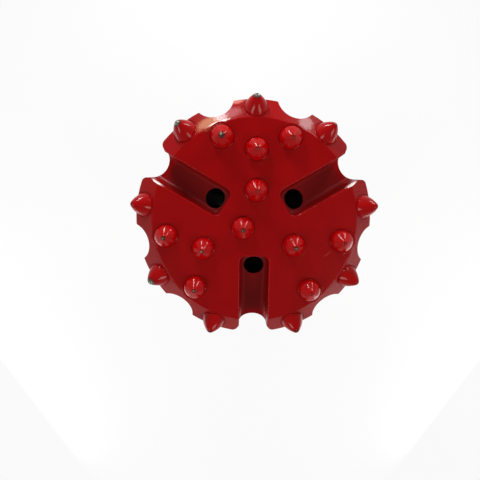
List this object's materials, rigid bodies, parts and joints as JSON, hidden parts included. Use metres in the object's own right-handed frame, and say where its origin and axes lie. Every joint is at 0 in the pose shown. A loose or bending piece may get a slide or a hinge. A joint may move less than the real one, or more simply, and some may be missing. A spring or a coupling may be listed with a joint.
{
  "type": "button drill bit",
  "caption": "Round rock drill bit for a top hammer: flat face and gauge chamfer set with carbide buttons, flushing slots and holes, side flutes, and a skirt with a blind threaded socket.",
  "frame": {"origin": "on the bit's axis, in the plane of the skirt end that the bit stands on", "axes": "+Z along the axis, from the skirt end towards the drilling face; +Y through the middle gauge button of the sector whose three gauge buttons lie at 51.7, 90 and 128.3 degrees about Z; +X by the right-hand rule"},
  "size_m": [0.151, 0.1497, 0.1742],
  "materials": {
    "body_paint": "gloss red paint, worn through to bright steel on a few chamfer edges",
    "button_paint": "gloss red paint over cemented carbide, worn through at some tips"
  },
  "bodies": {
    "root": {"bit_body": "body_paint", "gauge_button_1": "button_paint", "gauge_button_2": "button_paint", "gauge_button_3": "button_paint", "gauge_button_4": "button_paint", "gauge_button_5": "button_paint", "gauge_button_6": "button_paint", "gauge_button_7": "button_paint", "gauge_button_8": "button_paint", "gauge_button_9": "button_paint", "face_button_1": "button_paint", "face_button_2": "button_paint", "face_button_3": "button_paint", "face_button_4": "button_paint", "face_button_5": "button_paint", "face_button_6": "button_paint", "face_button_7": "button_paint", "face_button_8": "button_paint", "face_button_9": "button_paint", "face_button_10": "button_paint", "face_button_11": "button_paint"}
  },
  "joints": []
}
